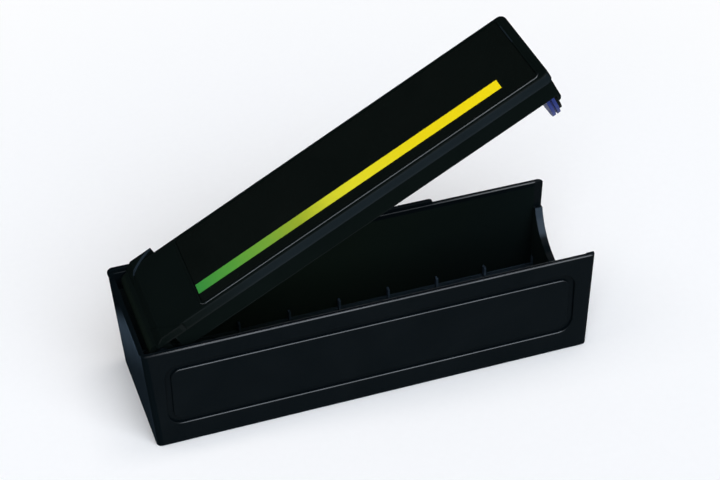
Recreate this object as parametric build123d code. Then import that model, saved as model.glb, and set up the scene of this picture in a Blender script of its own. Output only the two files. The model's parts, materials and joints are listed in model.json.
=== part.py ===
from build123d import *
import os

# A hinged case for a ten-hole harmonica.  Millimetres, +Z up.  The origin is on the tray's
# underside, below the middle of its rim, and +X runs along the case to the end that opens.
# Every piece of the lid is drawn closed and then swung open about the hinge line.

# --- tray -----------------------------------------------------------------------------------
case_length = 121.1       # tray, at the rim
case_width = 36.0
rim_height = 30.4
side_wall = 1.4
end_wall = 1.5
floor = 1.6
hinge_draft = 2.0         # the hinge end leans in this much from rim to underside
end_draft = 0.8           # and the free end this much
base_edge = 0.4           # radius round the underside
upright_edge = 1.4        # radius of the four upright corners
rim_edge = 0.45           # radius along the outside of the rim
rim_inner_edge = 0.4      # and along its inside
hinge_wall_drop = 1.8     # the hinge end wall stops this far under the rim
cut_over = 1.0            # cuts run this far past the faces they open
same_place = 0.01         # points nearer than this count as one place

mouth_wall = 2.4          # thickness of the free end's wall at the mouth
mouth_drop = 3.3          # centre of the round mouth, below the rim
mouth_inset = 0.4         # mouth, in from the inner faces of the long walls
notch_drop = 8.2          # step above the mouth for the lid's apron, below the rim

frame_margin = 5.5        # moulded frame on both long faces, in from the ends
frame_foot = 6.4          # and up from the underside
frame_head = 4.9          # and down from the rim
frame_radius = 4.0
frame_width = 1.5
frame_depth = 0.7
frame_edge = 0.3          # radius of the groove's lips

guard_length = 89.2       # raised guard on the back rim, from the hinge end
guard_height = 1.0
guard_thickness = 1.2
guard_root = 0.8          # how far the guard is sunk into the rim
guard_tip = 0.85          # radius of the guard's upper corner at its free end

rib_count = 7             # locating ribs along the foot of each long wall
rib_pitch = 14.2
rib_centre = 1.2          # middle rib, past the middle of the tray
rib_thickness = 0.6
rib_reach = 1.4
rib_height = 3.8
ledge_height = 1.0        # low ledge that ties the ribs together
ledge_reach = 0.9

# --- hinge ----------------------------------------------------------------------------------
hinge_inset = 6.0         # hinge line, in from the hinge end
hinge_drop = 2.0          # and below the rim
boss_radius = 1.7
boss_reach = 1.2          # boss on the inside of each long wall
boss_root = 0.35          # how far the boss is sunk into the wall
pin_radius = 0.8
pin_grip = 4.0            # length of pin pressed into the lid
pin_fit = 0.05            # running fit of the pin in its socket
socket_depth = 1.7
pin_end_gap = 0.15
knuckle_radius = 3.1
knuckle_gap = 0.3         # between the lid's knuckle and the boss
rest_opening = 28.5       # the lid stands open this far, in degrees

# --- lid ------------------------------------------------------------------------------------
lid_gap = 0.6             # lid to the inner face of the long walls
cap_seam = 0.2            # the cap starts this far above the rim
cap_rise = 2.4            # top of the lid above the rim
cap_reach = 0.9           # the cap's free end overhangs the tray as a thumb grip
front_lean = 0.8          # the cap's front side leans in this much
back_lean = 2.1           # and its back side, which clears the guard
cap_corner = 1.8          # radius of the lid's two free corners
cap_edge = 0.5            # radius of the lid's upper edge
plate = 1.4               # thickness of the lid's top
skirt_step = 0.3          # the skirt stands in from the cap
skirt_wall = 1.2
skirt_drop = 4.85         # skirt below the rim
skirt_edge = 0.3          # radius along the foot of the skirt
apron_drop = 1.75         # its wall across the free end hangs this much lower
skirt_start = 5.0         # skirt starts this far past the hinge line
slope_start = 2.4         # top of the lid slopes down to the knuckle from here
slope_lean = 0.6          # the slope runs this much further than it drops
pad_rise = 0.25           # raised corner pads over the two ends of the hinge
pad_arc = 17.2            # radius of the arc that bounds them
pad_arc_centre = 15.0     # centre of that arc past the hinge line
tongue = 0.9              # thickness of the rounded tongue
tongue_inset = 1.2        # tongue, in from the cap's free end
tongue_gap = 1.9          # tongue to the edge of the mouth

# --- label and buffer -----------------------------------------------------------------------
label_end_margin = 2.6    # label recess, in from the lid's free end
label_length = 98.1
label_front_margin = 1.4  # label recess, in from the cap's upper front edge
label_width = 26.7
label_depth = 0.5
label_corner = 1.0
label_gap = 0.1
label_lip = 0.6           # rounded lip round the recess
lip_rise = 0.25
stripe_margin = 0.2       # stripe, in from the label's hinge end
stripe_end_margin = 8.6   # and in from its other end
stripe_width = 3.6
stripe_foot = 3.9         # stripe, up from the label's front edge
stripe_depth = 0.2
buffer_overhang = 0.8     # buffer, out past the tongue's round edge
buffer_thickness = 2.2
buffer_drop = 0.3         # top of the buffer below the skirt
buffer_groove = 0.5       # groove round the middle of the buffer's edge

# --- worked out -----------------------------------------------------------------------------
half_length = case_length / 2
half_width = case_width / 2
inner_half = half_width - side_wall
hinge_x = hinge_inset - half_length
hinge_z = rim_height - hinge_drop
mouth_z = rim_height - mouth_drop
mouth_radius = inner_half - mouth_inset
cap_half = inner_half - lid_gap
cap_base = rim_height + cap_seam
cap_top = rim_height + cap_rise
cap_end = half_length + cap_reach
skirt_half = cap_half - skirt_step
skirt_bottom = rim_height - skirt_drop
apron_bottom = skirt_bottom - apron_drop
knuckle_half = inner_half - boss_reach - knuckle_gap
boss_face = inner_half - boss_reach
tongue_radius = mouth_radius - tongue_gap
tongue_face = cap_end - tongue_inset - tongue
label_centre = cap_end - label_end_margin - label_length / 2
label_front = front_lean + label_front_margin - cap_half
label_floor = cap_top - label_depth
stripe_length = label_length - stripe_margin - stripe_end_margin


def slab(low, high):
    """Box between two corners."""
    size = [high[i] - low[i] for i in range(3)]
    centre = [(high[i] + low[i]) / 2 for i in range(3)]
    return Pos(*centre) * Box(*size)


def rod(radius, start, end):
    """Round bar along Y through the hinge line."""
    bar = Cylinder(radius, abs(end - start))
    return Pos(hinge_x, (start + end) / 2, hinge_z) * Rot(90, 0, 0) * bar


def drafted_block(bottom, top, half, inset):
    """Block whose two ends lean in towards the underside, inset from the tray's outline."""
    def reach(z, draft):
        return half_length - inset - draft * (rim_height - z) / rim_height

    outline = Polyline(
        (-reach(bottom, hinge_draft), bottom), (reach(bottom, end_draft), bottom),
        (reach(top, end_draft), top), (-reach(top, hinge_draft), top), close=True)
    return extrude(make_face(Plane.XZ * outline), amount=half, both=True)


def u_profile(radius, centre_z, top):
    """Round-bottomed U in YZ, open upwards to the height top."""
    disc = Pos(0, centre_z) * Circle(radius)
    lower = disc & Pos(0, centre_z - radius / 2) * Rectangle(2 * radius, radius)
    return lower + Pos(0, (centre_z + top) / 2) * Rectangle(2 * radius, top - centre_z)


def along_x(profile, start, end):
    """Extrude a profile whose X is the part's Y, from one X to another."""
    plane = Plane(origin=(start, 0, 0), x_dir=(0, 1, 0), z_dir=(1, 0, 0))
    return extrude(plane * profile, amount=end - start)


def tray_shell():
    """Drafted box with an open top, a framed groove in each long face and a rounded rim."""
    outer = drafted_block(0, rim_height, half_width, 0)
    upright = [e for e in outer.edges() if abs(e.tangent_at(0.5).Z) > 0.9]
    outer = fillet(upright, upright_edge)
    outer = fillet(outer.faces().sort_by(Axis.Z)[0].edges(), base_edge)
    outer = fillet(outer.faces().sort_by(Axis.Z)[-1].edges(), rim_edge)
    for side in (-1, 1):
        outer -= frame_groove(side)
    outer = fillet([e for e in outer.edges() if on_groove_lip(e)], frame_edge)
    top = rim_height + cut_over
    hollow = drafted_block(floor, top, inner_half, end_wall)
    hollow -= slab((half_length - mouth_wall, -half_width, 0), (half_length, half_width, top))
    shell = outer - hollow
    rim = shell.faces().sort_by(Axis.Z)[-1]
    return fillet(rim.inner_wires()[0].edges(), rim_inner_edge)


def hinge_wall_cut():
    """Lowers the hinge end wall so that the lid can swing past it."""
    low = (-half_length - cut_over, -inner_half, rim_height - hinge_wall_drop)
    return slab(low, (-half_length + end_wall + cut_over, inner_half, rim_height + cut_over))


def mouth_cut():
    """Round mouth in the free end, with a wider step above it for the lid's apron."""
    start = half_length - mouth_wall - cut_over
    end = half_length + cut_over
    top = rim_height + cut_over
    step = slab((start, -inner_half, rim_height - notch_drop), (end, inner_half, top))
    return step + along_x(u_profile(mouth_radius, mouth_z, top), start, end)


def frame_groove(side):
    """Rounded rectangular groove in one long face: side is -1 in front, +1 behind."""
    length = case_length - 2 * frame_margin
    height = rim_height - frame_foot - frame_head
    centre_z = frame_foot + height / 2
    ring = RectangleRounded(length, height, frame_radius)
    inner = (length - 2 * frame_width, height - 2 * frame_width)
    ring -= RectangleRounded(*inner, frame_radius - frame_width)
    plane = Plane(origin=(0, side * half_width, centre_z), x_dir=(1, 0, 0), z_dir=(0, -side, 0))
    return extrude(plane * ring, amount=frame_depth)


def on_groove_lip(edge):
    """True for an edge where the groove meets a long face."""
    middle = edge.position_at(0.5)
    in_face = abs(abs(middle.Y) - half_width) < same_place
    in_length = abs(middle.X) < half_length - frame_margin + same_place
    return in_face and in_length and base_edge < middle.Z < rim_height - rim_edge - same_place


def back_guard():
    """Thin raised guard on the outer edge of the back rim, with a rounded end."""
    end_x = guard_length - half_length
    low = (-half_length, half_width - guard_thickness, rim_height - guard_root)
    guard = slab(low, (end_x, half_width, rim_height + guard_height))
    tip = guard.edges().filter_by(Axis.Y).sort_by(Axis.X)[-2:].sort_by(Axis.Z)[-1]
    guard = fillet(tip, guard_tip)
    start = guard.edges().filter_by(Axis.Y).sort_by(Axis.X)[:2].sort_by(Axis.Z)[-1]
    return fillet(start, upright_edge)


def foot_ribs(side):
    """Locating ribs and their ledge along the foot of one long wall."""
    wall_face = side * inner_half
    start = end_wall + hinge_draft - half_length
    end = half_length - end_wall - end_draft
    ledge_low = min(wall_face, wall_face - side * ledge_reach)
    ribs = slab((start, ledge_low, floor), (end, ledge_low + ledge_reach, floor + ledge_height))
    rib_low = min(wall_face, wall_face - side * rib_reach)
    for number in range(rib_count):
        x = rib_centre + (number - (rib_count - 1) / 2) * rib_pitch
        low = (x - rib_thickness / 2, rib_low, floor)
        ribs += slab(low, (x + rib_thickness / 2, rib_low + rib_reach, floor + rib_height))
    return ribs


def case_tray():
    tray = tray_shell() - hinge_wall_cut() - mouth_cut() + back_guard()
    for side in (-1, 1):
        tray += foot_ribs(side)
        tray += rod(boss_radius, side * boss_face, side * (inner_half + boss_root))
        tray -= rod(pin_radius + pin_fit, side * boss_face, side * (boss_face + socket_depth))
    return tray


def cap_block():
    """The visible cap: a plate with leaning sides, rounded along its upper edge."""
    outline = Polyline(
        (-cap_half, cap_base), (cap_half, cap_base),
        (cap_half - back_lean, cap_top), (front_lean - cap_half, cap_top), close=True)
    cap = along_x(make_face(outline), hinge_x + slope_start, cap_end)
    free_end = cap.faces().sort_by(Axis.X)[-1]
    corners = [e for e in free_end.edges() if abs(e.tangent_at(0.5).Z) > 0.5]
    cap = fillet(corners, cap_corner)
    top = cap.faces().sort_by(Axis.Z)[-1]
    upper = [e for e in top.edges() if e.center().X > hinge_x + slope_start + cap_edge]
    return fillet(upper, cap_edge)


def hinge_slope(top, half):
    """Rear of the lid, where the top slopes down to the knuckle."""
    front = hinge_x + slope_start
    foot_x = front - (top - hinge_z - knuckle_radius) - slope_lean
    outline = Polyline(
        (front, cap_base), (front, top), (foot_x, hinge_z + knuckle_radius),
        (hinge_x, hinge_z + knuckle_radius), (hinge_x, cap_base), close=True)
    return extrude(make_face(Plane.XZ * outline), amount=half, both=True)


def corner_pads():
    """Raised pads over the two ends of the hinge, bounded by an arc."""
    reach = pad_arc_centre
    pad_top = cap_top + pad_rise
    low = (hinge_x + slope_start, -cap_half, cap_base)
    pads = slab(low, (hinge_x + reach, cap_half, pad_top)) + hinge_slope(pad_top, cap_half)
    core = Cylinder(pad_arc, case_length)
    return pads - Pos(hinge_x + reach, 0, 0) * core


def lies_outside(edge):
    """True for a level edge of the skirt that runs round its outside."""
    middle = edge.position_at(0.5)
    level = abs(edge.tangent_at(0.5).Z) < same_place
    return level and (abs(middle.Y) > skirt_half - skirt_wall or middle.X > half_length)


def skirt():
    """Thin wall under the cap along both sides and across the free end."""
    start = hinge_x + skirt_start
    end = cap_end - skirt_step
    outer = slab((start, -skirt_half, apron_bottom), (end, skirt_half, cap_base))
    corners = outer.edges().filter_by(Axis.Z).group_by(Axis.X)[-1]
    outer = fillet(corners, cap_corner - skirt_step)
    inner_side = skirt_half - skirt_wall
    behind = start - cut_over
    outer -= slab((behind, -half_width, 0), (end - skirt_wall, half_width, skirt_bottom))
    foot = [e for e in outer.edges() if e.position_at(0.5).Z < skirt_bottom + same_place]
    outer = fillet([e for e in foot if lies_outside(e)], skirt_edge)
    return outer - slab((behind, -inner_side, 0), (end - skirt_wall, inner_side, cap_top))


def tongue_plate():
    """Rounded tongue that hangs in the mouth when the lid is shut."""
    profile = u_profile(tongue_radius, mouth_z, cap_top - plate / 2)
    return along_x(profile, tongue_face, tongue_face + tongue)


def label_slab(shrink, bottom, top):
    """Flat rounded plate at the label's place on the closed lid."""
    length, width = label_length - 2 * shrink, label_width - 2 * shrink
    face = RectangleRounded(length, width, label_corner - shrink)
    centre_y = label_front + label_width / 2
    return Pos(label_centre, centre_y, bottom) * extrude(face, amount=top - bottom)


def label_lip_ring():
    """Rounded lip round the label's recess."""
    ring = label_slab(-label_lip, cap_base, cap_top + lip_rise)
    return fillet(ring.faces().sort_by(Axis.Z)[-1].edges(), lip_rise - same_place)


def lid_shell_closed():
    lid = cap_block() + hinge_slope(cap_top, cap_half) + corner_pads() + label_lip_ring()
    inner_side = skirt_half - skirt_wall
    low = (hinge_x + skirt_start, -inner_side, skirt_bottom)
    lid -= slab(low, (cap_end - skirt_step - skirt_wall, inner_side, cap_top - plate))
    lid += skirt() + tongue_plate() + rod(knuckle_radius, -knuckle_half, knuckle_half)
    lid -= label_slab(0, label_floor, cap_top + cut_over)
    for side in (-1, 1):
        lid -= rod(pin_radius, side * (knuckle_half - pin_grip), side * (knuckle_half + cut_over))
    return lid


def hinge_pin(side):
    inner_end = knuckle_half - pin_grip
    outer_end = boss_face + socket_depth - pin_end_gap
    return rod(pin_radius, side * inner_end, side * outer_end)


def stripe_slab(shrink, bottom, top):
    """Long flat strip at the stripe's place on the closed lid."""
    start = label_centre - label_length / 2 + stripe_margin
    foot = label_front + stripe_foot
    low = (start + shrink, foot + shrink, bottom)
    return slab(low, (start + stripe_length - shrink, foot + stripe_width - shrink, top))


def label_plate_closed():
    channel = stripe_slab(0, cap_top - stripe_depth, cap_top + cut_over)
    return label_slab(label_gap, label_floor, cap_top) - channel


def label_stripe_closed():
    return stripe_slab(0, cap_top - stripe_depth, cap_top)


def buffer_closed():
    """Round-bottomed buffer on the inside of the tongue, below the skirt."""
    top = skirt_bottom - buffer_drop
    back = tongue_face - buffer_thickness
    middle = (tongue_face + back) / 2

    def layer(overhang, start, end):
        radius = tongue_radius + overhang
        profile = Pos(0, mouth_z) * Circle(radius)
        profile -= Pos(0, top + radius) * Rectangle(2 * radius, 2 * radius)
        return along_x(profile, start, end)

    waist = layer(buffer_overhang - buffer_groove, back, tongue_face)
    front = layer(buffer_overhang, middle + buffer_groove / 2, tongue_face)
    return waist + front + layer(buffer_overhang, back, middle - buffer_groove / 2)


def opened(piece):
    """Swing a closed piece of the lid open to its resting place."""
    hinge_line = Axis((hinge_x, 0, hinge_z), (0, -1, 0))
    return piece.rotate(hinge_line, rest_opening)


os.makedirs("parts", exist_ok=True)
nodes = {
    "case_tray": case_tray(),
    "lid_shell": opened(lid_shell_closed()),
    "hinge_pin_near": opened(hinge_pin(-1)),
    "hinge_pin_far": opened(hinge_pin(1)),
    "label_plate": opened(label_plate_closed()),
    "label_stripe": opened(label_stripe_closed()),
    "end_buffer": opened(buffer_closed()),
}
for name, piece in nodes.items():
    export_step(piece, f"parts/{name}.step")
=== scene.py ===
# %% [markdown]
# # A hinged case for a pocket harmonica
# The object is a small black box of moulded plastic, about 120 mm long.  A deep tray has a round mouth
# in its right-hand end, and a lid with a striped label stands open on a hinge at the other end.
# The solids come ready made, at their real size, from a CAD program.  What is left for Blender is
# the part that the eye judges: the finish of each moulding, the print on the label, the light and
# the camera.  The first step loads the solids as a fixed frame, and nothing below moves them.

# %% The frame
import json
import math

import bpy
from mathutils import Matrix, Vector


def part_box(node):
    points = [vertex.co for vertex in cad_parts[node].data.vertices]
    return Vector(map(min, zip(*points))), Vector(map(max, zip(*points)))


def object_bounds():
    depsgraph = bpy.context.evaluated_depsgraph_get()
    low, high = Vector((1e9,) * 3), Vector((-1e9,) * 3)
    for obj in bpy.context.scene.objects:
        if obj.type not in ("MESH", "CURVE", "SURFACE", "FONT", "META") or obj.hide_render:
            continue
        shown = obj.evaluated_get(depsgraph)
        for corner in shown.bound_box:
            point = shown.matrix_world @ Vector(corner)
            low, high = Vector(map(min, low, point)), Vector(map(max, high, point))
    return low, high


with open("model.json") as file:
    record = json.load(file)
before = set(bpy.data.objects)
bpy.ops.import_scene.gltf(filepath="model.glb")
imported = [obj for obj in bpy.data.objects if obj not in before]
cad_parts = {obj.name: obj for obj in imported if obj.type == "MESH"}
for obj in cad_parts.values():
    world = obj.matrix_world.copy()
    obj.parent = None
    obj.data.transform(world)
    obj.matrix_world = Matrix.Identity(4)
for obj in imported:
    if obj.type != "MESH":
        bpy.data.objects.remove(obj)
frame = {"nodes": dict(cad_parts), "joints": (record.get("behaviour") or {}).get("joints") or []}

MM = 0.001
cad_low, cad_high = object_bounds()
tray_low, tray_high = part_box("case_tray")
print("solids:", ", ".join(sorted(frame["nodes"])))
print("whole case, mm:", [round(side / MM, 1) for side in cad_high - cad_low])

# %% [markdown]
# ## Where the lid lies
# The lid is stored standing open, so its own length runs uphill.  A print on the lid is easiest to
# paint in the lid's own directions: along it, and across it.  Both follow from the hinge, whose
# lower limit is how far the lid has to turn to shut, so no angle is typed in twice.

# %% The lid's own directions
hinge = next(joint for joint in frame["joints"] if joint["name"] == "lid_hinge")
opening = -math.radians(hinge["range_deg"][0])
hinge_at = Vector(hinge["pos_m"])
LID_ALONG = Vector((math.cos(opening), 0, math.sin(opening)))
LID_UP = Vector((-math.sin(opening), 0, math.cos(opening)))


def stretch_along(node, direction):
    """First and last place of a solid, measured from the hinge along a direction."""
    places = [(vertex.co - hinge_at).dot(direction) for vertex in frame["nodes"][node].data.vertices]
    return min(places), max(places)


stripe_start, stripe_end = stretch_along("label_stripe", LID_ALONG)
label_end = stretch_along("label_plate", LID_ALONG)[1]
lid_top = stretch_along("label_plate", LID_UP)[1]
print("lid opening, degrees:", round(math.degrees(opening), 1))
print("stripe length, mm:", round((stripe_end - stripe_start) / MM, 1))
print("top of the lid over the hinge, mm:", round(lid_top / MM, 2))

# %% [markdown]
# ## The camera
# A long lens about half a metre away looks down on the near left corner of the case, so the lid's
# label, the framed long face and the inside of the mouth all show at once.  The view is given as an
# angle round the case, an angle above the table and a slight roll, because those are the three ways
# that a tripod head turns.  From them the camera's three axes are worked out and put into one matrix.

# %% The camera
CAMERA_AZIMUTH, CAMERA_ELEVATION, CAMERA_ROLL = -18.62, 37.69, -0.79
CAMERA_PLACE = Vector((-119.85, -362, 332.4)) * MM
LENS_MM, FILM_WIDTH_MM = 94.35, 36
NEAREST, FARTHEST = 0.02, 50


def camera_axes(azimuth, elevation, roll):
    """Right, up and back of a camera that looks at the case, with angles in degrees."""
    turn, lift, tip = (math.radians(angle) for angle in (azimuth, elevation, roll))
    back = Vector((math.sin(turn) * math.cos(lift), -math.cos(turn) * math.cos(lift), math.sin(lift)))
    level = Vector((math.cos(turn), math.sin(turn), 0))
    upright = back.cross(level)
    right = math.cos(tip) * level + math.sin(tip) * upright
    return right, math.cos(tip) * upright - math.sin(tip) * level, back


lens = bpy.data.cameras.new("case_camera")
lens.lens = LENS_MM
lens.sensor_width = FILM_WIDTH_MM
lens.clip_start, lens.clip_end = NEAREST, FARTHEST
camera = bpy.data.objects.new("case_camera", lens)
bpy.context.scene.collection.objects.link(camera)
axes = Matrix(camera_axes(CAMERA_AZIMUTH, CAMERA_ELEVATION, CAMERA_ROLL)).transposed()
camera.matrix_world = Matrix.Translation(CAMERA_PLACE) @ axes.to_4x4()
bpy.context.scene.camera = camera
bpy.context.scene.view_settings.view_transform = "Standard"
print("camera is", round((CAMERA_PLACE - (cad_low + cad_high) / 2).length, 3), "m from the case")

# %% [markdown]
# ## Writing a shader as sums
# A material is a web of nodes, and most of its nodes are plain arithmetic: this noise times that
# mask, plus a little.  Clicking those together in Python takes five lines a node.  Instead, one
# small class wraps a socket and answers to +, -, *, > and <, so a mask reads as the sum that it is.
# Every other node comes from one method, which sets its settings first and then fills its sockets.

# %% Sockets that can be added and multiplied
class Wire:
    """The output of a node, in a material that is being painted."""

    def __init__(self, paint, socket):
        self.paint, self.socket = paint, socket

    def sum(self, operation, first, second):
        """One maths node on two numbers, each of them plain or a wire."""
        return self.paint.node("ShaderNodeMath", {"operation": operation}, {0: first, 1: second})

    def __add__(self, other):
        return self.sum("ADD", self, other)

    def __sub__(self, other):
        return self.sum("SUBTRACT", self, other)

    def __rsub__(self, other):
        return self.sum("SUBTRACT", other, self)

    def __mul__(self, other):
        return self.sum("MULTIPLY", self, other)

    def __gt__(self, other):
        return self.sum("GREATER_THAN", self, other)

    def __lt__(self, other):
        return self.sum("LESS_THAN", self, other)

    __radd__, __rmul__ = __add__, __mul__


class Paint:
    """A node tree, for a material or for the world, that nodes are added to by name."""

    def __init__(self, tree):
        self.tree = tree
        tree.nodes.clear()

    def node(self, kind, settings=None, sockets=None, out=0):
        """Adds one node: settings first, then sockets by name or number, and gives one output."""
        made = self.tree.nodes.new(kind)
        for name, value in (settings or {}).items():
            setattr(made, name, value)
        for key, value in (sockets or {}).items():
            if isinstance(value, Wire):
                self.tree.links.new(value.socket, made.inputs[key])
            elif value is not None:
                made.inputs[key].default_value = value
        return Wire(self, made.outputs[out]) if made.outputs else made

    def size(self, value):
        """How far a number is from nought."""
        return self.node("ShaderNodeMath", {"operation": "ABSOLUTE"}, {0: value})

    def mix_colours(self, factor, first, second):
        """A blend of two colours, each of them three numbers or a wire."""
        pair = [colour if isinstance(colour, Wire) else (*colour, 1) for colour in (first, second)]
        return self.node("ShaderNodeMix", {"data_type": "RGBA"}, {0: factor, 6: pair[0], 7: pair[1]}, 2)

    def ramp(self, factor, stops):
        """A colour ramp through stops of (place, linear colour)."""
        ramp = self.node("ShaderNodeValToRGB", None, {0: factor})
        band = ramp.socket.node.color_ramp
        while len(band.elements) < len(stops):
            band.elements.new(1.0)
        for element, (place, colour) in zip(band.elements, stops):
            element.position, element.color = place, (*colour, 1)
        return ramp


def new_material(name):
    """A material and the Paint that fills it."""
    material = bpy.data.materials.new(name)
    material.use_nodes = True
    return material, Paint(material.node_tree)


def linear(red, green, blue):
    """A screen colour, 0 to 255, turned into the amount of light that makes it."""
    shares = [channel / 255 for channel in (red, green, blue)]
    return tuple(s / 12.92 if s <= 0.04045 else ((s + 0.055) / 1.055) ** 2.4 for s in shares)


print("linear mid grey:", round(linear(128, 128, 128)[0], 3))

# %% [markdown]
# ## Where edges are rubbed and catch the light
# Hands and pockets polish the edges of a plastic case first, so rims and lips carry a thin shiny
# line, and the rubbed edges also get a paler tone, a painted highlight.  A mask for that has to find
# the convex edges by itself.  Blender can send short rays from a surface into the solid: on a flat
# wall they meet nothing, and near an edge they soon meet the next face.  That is what the Ambient
# Occlusion node does when it looks inside.  The mask also asks which way a point faces, and keeps
# the edges that face the light, so the painted highlight falls where light would catch them.
# It reads the solid's own normal, so it stays put when the lid swings.

# %% A mask of rubbed edges
FACING_FROM, FACING_FULLY = 0.1, 0.5
RAYS = 12


def parts_of(paint, vector):
    """The three numbers of a vector, each as a wire."""
    split = paint.node("ShaderNodeSeparateXYZ", None, {0: vector})
    return [Wire(paint, socket) for socket in split.socket.node.outputs]


def smooth_step(paint, value, start, end):
    """0 before start, 1 after end, and a soft rise between them."""
    soft = {"interpolation_type": "SMOOTHSTEP"}
    return paint.node("ShaderNodeMapRange", soft, {0: value, 1: start, 2: end})


def measured(paint, operation, first, second):
    """One number from vectors: how far the first reaches along the second, or how far apart they are."""
    return paint.node("ShaderNodeVectorMath", {"operation": operation}, {0: first, 1: second}, "Value")


def faces_toward(paint, direction):
    """1 where the surface faces a direction, and 0 where it faces sideways or away."""
    normal = paint.node("ShaderNodeTexCoord", None, None, "Normal")
    facing = measured(paint, "DOT_PRODUCT", normal, direction)
    return smooth_step(paint, facing, FACING_FROM, FACING_FULLY)


def convex_edges(paint, reach_mm, first, full):
    """1 along a convex edge and 0 on a flat face."""
    looks_in = {"inside": True, "only_local": True, "samples": RAYS}
    inner = paint.node("ShaderNodeAmbientOcclusion", looks_in, {"Distance": reach_mm * MM}, "AO")
    return smooth_step(paint, 1 - inner, first, full)


print("edges are looked for with", RAYS, "rays inside the solid")

# %% [markdown]
# ## Where the tray is used
# The rest of the masks are simple geometry.  The upper flanks of the mouth's round edge carry a
# painted highlight, a paler tone with a little gloss; that mask keeps the points at one distance from
# the mouth's centre.  The inside of the tray is a box that is never wiped, so it has no sheen.  It is
# painted a little paler as fill light in its shade, less towards the mouth, and most of all under the
# hinge and on the wall that the mouth is in.  The ribs at its foot carry painted highlights.  On the
# outside of the hinge end a soft diagonal band of painted light is dark above and lit below.  The
# sizes below are those of the tray: its inside runs from BAY_START to BAY_END, and the wall at the
# hinge end leans out by HINGE_LEAN.

# %% Masks of the tray
RIM, HINGE_LEAN = 30.4 * MM, 2.0 / 30.4
MOUTH_RADIUS, MOUTH_HEIGHT = 16.2 * MM, 27.1 * MM
BAY_START, BAY_END, BAY_HALF_WIDTH, BAY_FLOOR = -59.15 * MM, 58.2 * MM, 16.7 * MM, 1.5 * MM
END_WALL, NEAR_MOUTH = 1.2 * MM, 0.95 * BAY_END
RIB_FOOT, LEDGE_TOP, RIB_TOP = 15 * MM, 2.7 * MM, 5.6 * MM
FLANK_FOOT, FLANK_TOP = 10.6 * MM, 12.2 * MM
HAIR, SLIVER = 0.08 * MM, 0.15 * MM


def mouth_edge(paint, place):
    """1 on the round edge of the mouth."""
    level = paint.node("ShaderNodeVectorMath", {"operation": "MULTIPLY"}, {0: place, 1: (0, 1, 1)})
    from_centre = measured(paint, "DISTANCE", level, (0, 0, MOUTH_HEIGHT))
    at_the_end = parts_of(paint, place)[0] > NEAR_MOUTH
    return (paint.size(from_centre - MOUTH_RADIUS) < HAIR) * at_the_end


def mouth_flanks(paint, place):
    """1 on the two upper flanks of the mouth's round edge, and 0 at its foot."""
    from_middle = paint.size(parts_of(paint, place)[1])
    return mouth_edge(paint, place) * smooth_step(paint, from_middle, FLANK_FOOT, FLANK_TOP)


def from_hinge_end(paint, place):
    """Place along the tray, as if the wall that leans at the hinge end stood upright."""
    along, across, up = parts_of(paint, place)
    return along - (RIM - up) * HINGE_LEAN


def in_bay(paint, place):
    """1 on the inside of the tray."""
    along, across, up = parts_of(paint, place)
    between_ends = (from_hinge_end(paint, place) > BAY_START) * (along < BAY_END)
    return between_ends * (paint.size(across) < BAY_HALF_WIDTH) * (up > BAY_FLOOR)


def mouth_wall(paint, place):
    """1 on the inner face of the wall that the mouth is in."""
    at_the_end = parts_of(paint, place)[0] > NEAR_MOUTH
    return in_bay(paint, place) * at_the_end * faces_toward(paint, (-1, 0, 0))


def under_hinge(paint, place):
    """1 low inside the tray at the hinge end."""
    along, across, up = parts_of(paint, place)
    past_hinge = smooth_step(paint, along, -52 * MM, -42 * MM)
    return in_bay(paint, place) * (1 - past_hinge) * (up < 25 * MM)


def bay_fill(paint, place):
    """Painted fill light: 1 deep inside the tray, less towards the mouth, and 1 in two shaded corners."""
    along, across, up = parts_of(paint, place)
    past_hinge = smooth_step(paint, along, -56 * MM, -45 * MM)
    near_mouth = smooth_step(paint, along, -30 * MM, 60 * MM)
    corners = mouth_wall(paint, place) + under_hinge(paint, place)
    below_rim = up < RIM - 1.5 * MM
    return in_bay(paint, place) * below_rim * (past_hinge - near_mouth * 0.75) + corners


def rib_highlights(paint, place):
    """Painted highlight: 1 on the ribs at the foot of the walls, and less on their ledge and towards the
    hinge.
    """
    along, across, up = parts_of(paint, place)
    from_middle = paint.size(across)
    off_the_wall = (from_middle < BAY_HALF_WIDTH - SLIVER) * (from_middle > RIB_FOOT)
    on_rib = (up > LEDGE_TOP) * (up < RIB_TOP)
    on_ledge = (up > BAY_FLOOR + SLIVER) * (up < LEDGE_TOP)
    towards_mouth = 0.3 + smooth_step(paint, along, -30 * MM, 30 * MM) * 0.7
    return in_bay(paint, place) * off_the_wall * (on_rib + on_ledge * 0.35) * towards_mouth


def end_face_light(paint, place):
    """A diagonal band of painted light on the outside of the hinge end: how far down a point is, and how
    near.
    """
    along, across, up = parts_of(paint, place)
    outside = from_hinge_end(paint, place) < BAY_START - END_WALL
    # Painted light: dark above a slanted line, bright just below it, and fainter further down.
    slant = (RIM - up) * (1 / RIM) + (tray_high.y - across) * (0.85 / (tray_high.y - tray_low.y))
    fading = 0.74 - smooth_step(paint, slant, 0.55, 1.1) * 0.58
    return outside * smooth_step(paint, slant, 0.34, 0.58) * fading


def rim_shine(paint, place):
    """1 on most of the rim, and less near the hinge and on the far side under the guard."""
    along, across, up = parts_of(paint, place)
    past_hinge = smooth_step(paint, along, -62 * MM, -44 * MM)
    under_guard = (across > 0) * (1 - smooth_step(paint, along, 28 * MM, 42 * MM))
    return past_hinge * (1 - under_guard * 0.6)


print("mouth radius, mm:", round(MOUTH_RADIUS / MM, 1))
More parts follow.
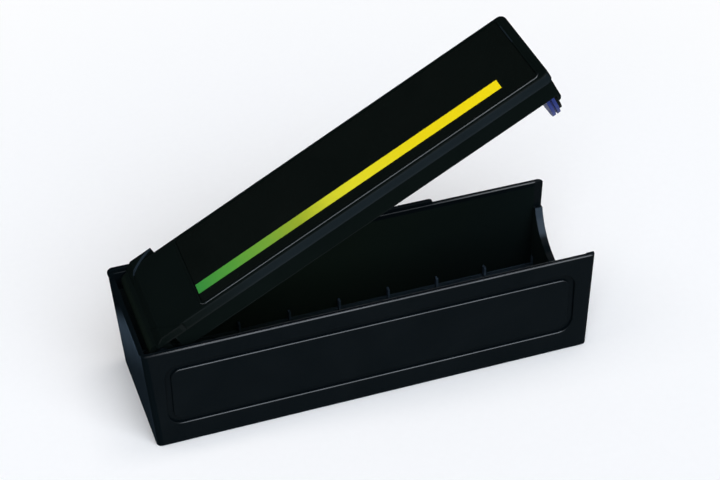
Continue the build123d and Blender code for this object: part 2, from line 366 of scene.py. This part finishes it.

# %% [markdown]
# ## Where the lid is used
# On the lid, the lip along the front of the label stands proud, so it takes the shine and a paler
# painted highlight.  The bevelled side of the cap carries a faint band of painted light, and an arc
# bounds each raised pad over the hinge: the far one carries a painted highlight line.  The skirt and
# the hollow close to the hinge are never touched, so they stay dull, and the end that sits down
# beside the hinge is painted paler as fill light in its shade.  The lip at the label's free end has
# one short painted highlight strip.  All of this is measured from the hinge, along the lid and up
# from it.

# %% Masks of the lid
CAP_FOOT, CAP_SIDE, CAP_EDGE = 2.15 * MM, 14.7 * MM, 0.2 * MM
LIP_INSIDE, LIP_OUTSIDE, LIP_RISE = 13 * MM, 14.6 * MM, 0.02 * MM
PAD_ARC, PAD_CENTRE, PAD_LINE = 17.2 * MM, 15.0 * MM, 0.3 * MM


def on_the_lid(paint, place):
    """Place along the lid from the hinge, across it, and height over the hinge."""
    run, height = (measured(paint, "DOT_PRODUCT", place, way) - hinge_at.dot(way)
                   for way in (LID_ALONG, LID_UP))
    return run, parts_of(paint, place)[1], height


def label_lip(paint, place):
    """1 on the front run of the lip round the label."""
    run, across, height = on_the_lid(paint, place)
    return (height > lid_top + LIP_RISE) * (across < -LIP_INSIDE) * (across > -LIP_OUTSIDE)


def cap_side(paint, place):
    """1 on the bevelled sides of the cap, and 0 towards the hinge."""
    run, across, height = on_the_lid(paint, place)
    band = (height > CAP_FOOT) * (height < lid_top - CAP_EDGE) * (paint.size(across) > CAP_SIDE)
    return band * smooth_step(paint, run, 6 * MM, 45 * MM)


def pad_edge(paint, place):
    """1 along the arc that bounds the far pad."""
    run, across, height = on_the_lid(paint, place)
    on_plan = paint.node("ShaderNodeCombineXYZ", None, {0: run, 1: across})
    from_centre = measured(paint, "DISTANCE", on_plan, (PAD_CENTRE, 0, 0))
    far_and_high = (height > lid_top - PAD_LINE) * (across > 0) * (run < PAD_CENTRE)
    return (paint.size(from_centre - PAD_ARC) < PAD_LINE) * far_and_high


def end_lip(paint, place):
    """1 on a narrow strip along the far half of the lip at the label's free end."""
    run, across, height = on_the_lid(paint, place)
    strip = (run > label_end + 0.05 * MM) * (run < label_end + 0.4 * MM)
    return strip * (height > lid_top + LIP_RISE) * (across > 2 * MM) * (across < 10 * MM)


def beside_hinge(paint, place):
    """1 on the rounded end of the lid that turns beside the hinge."""
    return faces_toward(paint, -LID_ALONG) * (on_the_lid(paint, place)[0] < 0)


def lid_sheen(paint, place):
    """1 on the top and the sides of the cap, and 0 on the skirt and close to the hinge."""
    run, across, height = on_the_lid(paint, place)
    return smooth_step(paint, run, 3 * MM, 6 * MM) * (height > CAP_FOOT)


print("the cap's side starts", round(CAP_FOOT / MM, 2), "mm over the hinge")

# %% [markdown]
# ## Black moulded plastic
# The tray and the lid are injection moulded.  Up close such a surface isn't even: the steel of the
# mould leaves a fine grain, the plastic pulls in a little over thick places, and handling adds
# faint smears and a few hairline scratches.  All of it is far too small to model, so it goes into
# roughness and bump.  The colour is a very dark, slightly cool grey.  Plain black would swallow
# the shape, because then only the reflections would show it.  The base has no gloss at all, so that
# a white table doesn't turn the walls grey.  The shine comes from a clear coat instead, whose
# weight a mask can steer: a trace of it everywhere, and much more on the rubbed edges.  Scales are
# in waves per metre, and scratches are noise that is stretched along the case.

# %% The moulded plastic
GRAIN_MM, EDGE_REACH_MM = 0.3, 0.5
WAVE_SCALE, SMEAR_SCALE, SCRATCH_SCALES = 60, 38, (60, 900, 900)
SCRATCH_FROM = 0.72
SHEEN, COAT_ROUGHNESS, COAT_INDEX = 0.03, 0.18, 1.7
SOFTENED_MM, RELIEF_MM = 0.2, 0.05


def noise(paint, place, scale, detail, distortion=0):
    """A noise that averages a half."""
    return paint.node("ShaderNodeTexNoise", None,
                      {"Vector": place, "Scale": scale, "Detail": detail, "Distortion": distortion})


def moulded_plastic(name, dark, light, roughness, wear):
    """Satin black plastic.  wear(paint, place, edges) gives polish with highlight, painted fill, painted
    light and sheen.
    """
    material, paint = new_material(name)
    place = paint.node("ShaderNodeTexCoord", None, None, "Object")
    grain, waves = noise(paint, place, 1 / (GRAIN_MM * MM), 3), noise(paint, place, WAVE_SCALE, 2)
    smears = noise(paint, place, SMEAR_SCALE, 5, 1.6)
    stretch = {0: place, 1: SCRATCH_SCALES}
    long_place = paint.node("ShaderNodeVectorMath", {"operation": "MULTIPLY"}, stretch)
    scratches = (noise(paint, long_place, 1, 2) > SCRATCH_FROM) * (smears > 0.5)
    edges = convex_edges(paint, EDGE_REACH_MM, 0.01, 0.07) * (0.6 + waves * 0.8)
    polish_and_highlight, shade_fill, painted_light, sheen = wear(paint, place, edges)
    tone = paint.mix_colours(smears * 0.6 + waves * 0.4, dark, light)
    # Painted fill: a paler tone where the inside of the tray and the lid's hinge end lie in shade.
    tone = paint.mix_colours(shade_fill, tone, SHADE_FILL_TONE)
    # Painted light: a paler, cool tone for highlights on ribs, flanks and lips, and for lit bands.
    tone = paint.mix_colours(painted_light * (0.7 + waves * 0.6), tone, PAINTED_LIGHT_TONE)
    # Painted highlight: rubbed edges that face the light get a paler tone, on top of their polish.
    tone = paint.mix_colours(polish_and_highlight * 0.5, tone, RUBBED_HIGHLIGHT)
    coat = polish_and_highlight + sheen * SHEEN * (0.5 + smears) - scratches * 0.01
    height = grain * 0.25 + waves - scratches * 0.15
    round_edge = paint.node("ShaderNodeBevel", {"samples": 4}, {"Radius": SOFTENED_MM * MM})
    relief = paint.node("ShaderNodeBump", None, {
        "Strength": 0.25, "Distance": RELIEF_MM * MM, "Height": height, "Normal": round_edge})
    shader = paint.node("ShaderNodeBsdfPrincipled", None, {
        "Base Color": tone, "Roughness": roughness + smears * 0.12 + scratches * 0.1 - polish_and_highlight * 0.15,
        "Specular IOR Level": 0.0, "Coat Weight": coat, "Coat Roughness": COAT_ROUGHNESS,
        "Coat IOR": COAT_INDEX, "Normal": relief})
    paint.node("ShaderNodeOutputMaterial", None, {"Surface": shader})
    print("painted", name)
    return material


# %% [markdown]
# The tray and the lid differ a little in colour, in where they are worn and in where light is painted.
# Each gets a function that turns the masks above into four numbers: how polished a point is, with
# its painted highlight, how much painted fill and how much painted light it takes, and how much of
# the overall sheen it has.

# %% Black for the tray and black for the lid
TRAY_DARK, TRAY_LIGHT = (0.0017, 0.0030, 0.0038), (0.0030, 0.0050, 0.0062)
LID_DARK, LID_LIGHT = (0.0022, 0.0038, 0.0034), (0.0038, 0.0060, 0.0054)
# Tones of painted light: the first is fill for shaded insides, the second a highlight on rubbed edges, the
# third highlights and lit bands.
SHADE_FILL_TONE, RUBBED_HIGHLIGHT, PAINTED_LIGHT_TONE = (0.0075, 0.0120, 0.0082), (0.012, 0.016, 0.021), (0.042, 0.062, 0.085)
# Painted highlight on the mouth's flanks, and painted fill in the shaded mouth wall and hinge corner.
FLANK_HIGHLIGHT, FLANK_LIGHT, WALL_FILL, CORNER_FILL = 0.07, 0.5, 0.12, 0.15
# Painted light on the cap's side, and painted highlights on the pad's arc and the label's end lip.
SIDE_LIGHT, PAD_HIGHLIGHT, LIP_HIGHLIGHT = 0.10, 0.3, 0.15
# The second number is painted fill on the lid's end beside the hinge, which lies in shade.
PLAIN_EDGE, HINGE_FILL, LID_SHINE = 0.05, 0.4, 0.7
UPRIGHT_FROM, UPRIGHT_FULLY = 0.08, 0.35


def tray_wear(paint, place, edges):
    """Rim polish and highlight, painted fill and highlights inside, a lit band outside, sheen only outside.
    """
    mouth, end_light = mouth_edge(paint, place), end_face_light(paint, place)
    sideways = paint.size(parts_of(paint, paint.node("ShaderNodeTexCoord", None, None, "Normal"))[0])
    straight = 1 - smooth_step(paint, sideways, UPRIGHT_FROM, UPRIGHT_FULLY)
    # Rubbed edges that face up, and not sideways, take polish and a paler painted highlight.
    rubbed_and_lit = edges * faces_toward(paint, (0, 0, 1)) * straight * rim_shine(paint, place)
    hinge_end = from_hinge_end(paint, place) < BAY_START + 0.3 * MM
    flanks = mouth_flanks(paint, place)
    # Polish with a painted highlight on the rim, and a painted highlight on the mouth's flanks.
    polish_and_highlight = rubbed_and_lit * (1 - mouth) + flanks * FLANK_HIGHLIGHT
    # Painted fill in the shaded wall of the mouth and the shaded corner under the hinge.
    corners = mouth_wall(paint, place) * WALL_FILL + under_hinge(paint, place) * CORNER_FILL
    # Painted light: the band on the hinge end, highlights on the ribs and flanks, fill in shaded corners.
    painted_light = end_light + rib_highlights(paint, place) + corners + flanks * FLANK_LIGHT
    return polish_and_highlight, bay_fill(paint, place), painted_light, (1 - in_bay(paint, place)) * (1 - hinge_end)


def lid_wear(paint, place, edges):
    """Polish and painted highlight on the label's lip, painted fill beside the hinge, painted light on the
    cap.
    """
    # The label's front lip takes polish and a paler painted highlight, other front edges a little.
    rubbed_and_lit = edges * (PLAIN_EDGE + label_lip(paint, place) * (1 - PLAIN_EDGE))
    # Painted light on the cap's side, and painted highlights on the pad's arc and the end lip.
    painted_light = (cap_side(paint, place) * SIDE_LIGHT + pad_edge(paint, place) * PAD_HIGHLIGHT
              + end_lip(paint, place) * LIP_HIGHLIGHT)
    return (rubbed_and_lit * faces_toward(paint, (0, -1, 0)), beside_hinge(paint, place) * HINGE_FILL,
            painted_light, lid_sheen(paint, place) * LID_SHINE)


tray_black = moulded_plastic("tray_black_plastic", TRAY_DARK, TRAY_LIGHT, 0.45, tray_wear)
lid_black = moulded_plastic("lid_black_plastic", LID_DARK, LID_LIGHT, 0.40, lid_wear)

# %% [markdown]
# ## The label and its stripe
# The label is a thin glossy plate let into the lid, with a plain band that runs from green at the
# hinge to yellow at the free end.  The band is a solid of its own, so its edges are sharp however
# near the camera comes.  Its colour is a ramp, read along the lid.  Ink on film is never quite
# even, so a weak noise shifts the ramp and the gloss.

# %% Ink and film
STRIPE_COLOURS = [
    (0.00, linear(50, 136, 54)), (0.12, linear(82, 152, 52)), (0.23, linear(114, 161, 50)),
    (0.34, linear(151, 169, 38)), (0.44, linear(208, 205, 40)), (0.52, linear(226, 214, 34)),
    (0.72, linear(235, 211, 12)), (1.00, linear(244, 216, 8))]


def along_lid(paint, place, start, end):
    """0 at the start of a stretch of the lid and 1 at its end."""
    run = measured(paint, "DOT_PRODUCT", place, LID_ALONG)
    return (run - (hinge_at.dot(LID_ALONG) + start)) * (1 / (end - start))


def stripe_print():
    """Ink that runs from green at the hinge to yellow at the free end."""
    material, paint = new_material("stripe_green_to_yellow")
    place = paint.node("ShaderNodeTexCoord", None, None, "Object")
    ink = noise(paint, place, 900, 3)
    run = along_lid(paint, place, stripe_start, stripe_end)
    colour = paint.ramp(run + (ink - 0.5) * 0.03, STRIPE_COLOURS)
    shader = paint.node("ShaderNodeBsdfPrincipled", None, {
        "Base Color": colour, "Roughness": 0.32 + ink * 0.1, "Specular IOR Level": 0.2})
    paint.node("ShaderNodeOutputMaterial", None, {"Surface": shader})
    return material


def label_film():
    """Glossy black film with a faint peel and a few specks of dust."""
    material, paint = new_material("label_black_film")
    place = paint.node("ShaderNodeTexCoord", None, None, "Object")
    sheen, peel = noise(paint, place, 45, 4, 0.8), noise(paint, place, 700, 1)
    specks = noise(paint, place, 5200, 0) > 0.8
    tone = paint.ramp(sheen + specks * 0.5, [
        (0.2, (0.0016, 0.0028, 0.0022)), (1.0, (0.0040, 0.0056, 0.0046))])
    relief = paint.node("ShaderNodeBump", None, {
        "Strength": 0.1, "Distance": 0.02 * MM, "Height": peel})
    shader = paint.node("ShaderNodeBsdfPrincipled", None, {
        "Base Color": tone, "Roughness": 0.10 + sheen * 0.08 + specks * 0.3,
        "Specular IOR Level": 0.08, "Normal": relief})
    paint.node("ShaderNodeOutputMaterial", None, {"Surface": shader})
    return material


stripe_ink, black_film = stripe_print(), label_film()
print("painted", stripe_ink.name, "and", black_film.name)

# %% [markdown]
# ## Blue buffer and steel pins
# The buffer at the end of the lid is a small blue piece of soft plastic.  Its edges are painted paler,
# as a painted highlight.  The two hinge pins are short ends of drawn wire, hidden in their sockets.
# Drawing leaves fine rings round a wire, so its bump is a noise that is squeezed along the hinge.

# %% Rubber and wire
def blue_rubber():
    """Soft mottled blue, a little paler along its edges."""
    material, paint = new_material("buffer_blue_rubber")
    place = paint.node("ShaderNodeTexCoord", None, None, "Object")
    mottle = noise(paint, place, 420, 4)
    edge = paint.node("ShaderNodeNewGeometry", None, None, "Pointiness")
    # Painted highlight: sharp edges get a paler blue.
    tone = paint.ramp(mottle * 0.7 + (edge > 0.53) * 0.3, [
        (0.25, linear(4, 18, 76)), (0.9, linear(20, 46, 122))])
    relief = paint.node("ShaderNodeBump", None, {
        "Strength": 0.3, "Distance": 0.05 * MM, "Height": mottle})
    shader = paint.node("ShaderNodeBsdfPrincipled", None, {
        "Base Color": tone, "Roughness": 0.45 + mottle * 0.15, "Specular IOR Level": 0.2, "Normal": relief})
    paint.node("ShaderNodeOutputMaterial", None, {"Surface": shader})
    return material


def drawn_wire():
    """Steel wire with fine rings round it."""
    material, paint = new_material("pin_drawn_steel")
    place = paint.node("ShaderNodeTexCoord", None, None, "Object")
    squeeze = {0: place, 1: (400, 9000, 400)}
    rings = noise(paint, paint.node("ShaderNodeVectorMath", {"operation": "MULTIPLY"}, squeeze), 1, 3)
    tone = paint.ramp(rings, [(0.2, (0.50, 0.50, 0.52)), (0.9, (0.68, 0.68, 0.70))])
    relief = paint.node("ShaderNodeBump", None, {"Strength": 0.2, "Distance": 0.02 * MM, "Height": rings})
    shader = paint.node("ShaderNodeBsdfPrincipled", None, {
        "Base Color": tone, "Metallic": 1.0, "Roughness": 0.22 + rings * 0.2, "Normal": relief})
    paint.node("ShaderNodeOutputMaterial", None, {"Surface": shader})
    return material


buffer_blue, pin_steel = blue_rubber(), drawn_wire()
print("painted", buffer_blue.name, "and", pin_steel.name)

# %% [markdown]
# ## Dressing the solids
# Each solid has one material slot.  Swapping what is in that slot dresses the solid and leaves
# its shape alone, so the frame stays true.

# %% Dressing the solids
FINISHES = {
    "case_tray": tray_black, "lid_shell": lid_black, "label_plate": black_film, "label_stripe": stripe_ink,
    "end_buffer": buffer_blue, "hinge_pin_near": pin_steel, "hinge_pin_far": pin_steel}
for node, finish in FINISHES.items():
    solid = frame["nodes"][node]
    solid.data.materials.clear()
    solid.data.materials.append(finish)
    print(node, "wears", finish.name)

# %% [markdown]
# ## A pale table that doesn't end
# The case stands on a plain white table.  Near the case the table is ordinary matt white, so it
# takes a soft shadow.  The lamps reach only that far, so further out the table would go grey in a
# low view.  There it glows by itself, but only for the camera and for reflections, and so adds no
# light to the case.

# %% The table
PALE = (0.995, 0.997, 1.0)
PAPER_DARK, PAPER_LIGHT = (0.978, 0.942, 0.915), (0.998, 0.962, 0.935)
GLOW_FROM, GLOW_TO = 0.10, 0.30
TABLE_RADIUS, TABLE_SIDES, TABLE_DROP = 12, 96, 0.02 * MM


def seen_or_reflected(paint):
    """1 for a ray from the camera, a reflection or a ray through glass, and 0 for other light."""
    path = paint.node("ShaderNodeLightPath", None, None, "Is Camera Ray")
    kinds = path.socket.node.outputs
    return path + Wire(paint, kinds["Is Glossy Ray"]) + Wire(paint, kinds["Is Transmission Ray"]) > 0.5


def white_table():
    """Matt white near the case, and a glow of its own further out."""
    material, paint = new_material("white_table")
    place = paint.node("ShaderNodeTexCoord", None, None, "Object")
    reach = paint.node("ShaderNodeVectorMath", {"operation": "LENGTH"}, {0: place}, "Value")
    far = smooth_step(paint, reach, GLOW_FROM, GLOW_TO)
    fibre = noise(paint, place, 500, 3)
    tone = paint.ramp(fibre, [(0.0, PAPER_DARK), (1.0, PAPER_LIGHT)])
    matt = paint.node("ShaderNodeBsdfDiffuse", None, {"Color": tone})
    glow = paint.node("ShaderNodeEmission", None, {"Color": (*PALE, 1), "Strength": 1})
    surface = paint.node("ShaderNodeMixShader", None, {0: far * seen_or_reflected(paint), 1: matt, 2: glow})
    paint.node("ShaderNodeOutputMaterial", None, {"Surface": surface})
    return material


def make_table(radius, sides):
    """A wide flat disc just under the case."""
    mesh = bpy.data.meshes.new("white_table")
    turns = [math.tau * side / sides for side in range(sides)]
    rim = [(radius * math.cos(turn), radius * math.sin(turn), 0) for turn in turns]
    mesh.from_pydata(rim, [], [list(range(sides))])
    mesh.materials.append(white_table())
    table = bpy.data.objects.new("white_table", mesh)
    table.location.z = cad_low.z - TABLE_DROP
    bpy.context.scene.collection.objects.link(table)
    return table


table = make_table(TABLE_RADIUS, TABLE_SIDES)
print("table stage, radius", TABLE_RADIUS, "m")

# %% [markdown]
# ## Light for a black object
# A black glossy thing shows almost nothing but what it mirrors, so it is lit by what it reflects.
# The sky of this little studio is pale at the horizon and dark overhead and behind: the label looks
# into the dark part and stays black.  In front it has one broad bright panel, like a tall window.
# Flat faces don't mirror it, but every rounded edge has some strip that does, and so draws a bright
# line.  A long soft box overhead lights the table and the print.

# %% The sky
SKY_HORIZON, SKY_TOP = PALE, (0.07, 0.08, 0.09)
HORIZON_ENDS, SKY_STARTS = 0.12, 0.30
PANEL = (2.7, 2.95, 3.25)
PANEL_SPREAD, PANEL_FOOT, PANEL_FULL = 0.9, 0.22, 0.34


def studio_sky():
    """Pale low down, dark overhead, and one bright panel in front."""
    world = bpy.data.worlds.new("studio_sky")
    bpy.context.scene.world = world
    world.use_nodes = True
    paint = Paint(world.node_tree)
    toward = paint.node("ShaderNodeTexCoord", None, None, "Generated")
    right, back, up = parts_of(paint, toward)
    tone = paint.ramp(up, [
        (0.0, SKY_HORIZON), (HORIZON_ENDS, SKY_HORIZON), (SKY_STARTS, SKY_TOP), (1.0, SKY_TOP)])
    in_front = smooth_step(paint, 0 - back - paint.size(right) * PANEL_SPREAD, 0.0, 0.12)
    panel = in_front * smooth_step(paint, up, PANEL_FOOT, PANEL_FULL)
    tone = paint.mix_colours(panel, tone, PANEL)
    sky = paint.node("ShaderNodeBackground", None, {"Color": tone, "Strength": 1})
    paint.node("ShaderNodeOutputWorld", None, {"Surface": sky})
    return world


print("sky:", studio_sky().name)

# %% The lamps
TARGET = Vector((0, 0, 30)) * MM


def soft_box(name, toward, distance, length, width, brightness, tint):
    """A rectangular lamp.  Brightness is how white it looks itself, with 1 as paper white."""
    lamp = bpy.data.lights.new(name, "AREA")
    lamp.shape, lamp.size, lamp.size_y = "RECTANGLE", length, width
    lamp.energy = brightness * math.pi * length * width
    lamp.color = tint
    holder = bpy.data.objects.new(name, lamp)
    direction = Vector(toward).normalized()
    across = direction.cross(Vector((1, 0, 0))).normalized()
    turned = Matrix((across.cross(direction), across, direction)).transposed().to_4x4()
    holder.matrix_world = Matrix.Translation(TARGET + direction * distance) @ turned
    bpy.context.scene.collection.objects.link(holder)
    print(name, round(lamp.energy, 2), "W")
    return holder


soft_box("overhead_box", toward=(-0.04, 0.06, 0.95), distance=0.9, length=0.90, width=0.24,
         brightness=4.1, tint=(1.0, 0.972, 0.955))
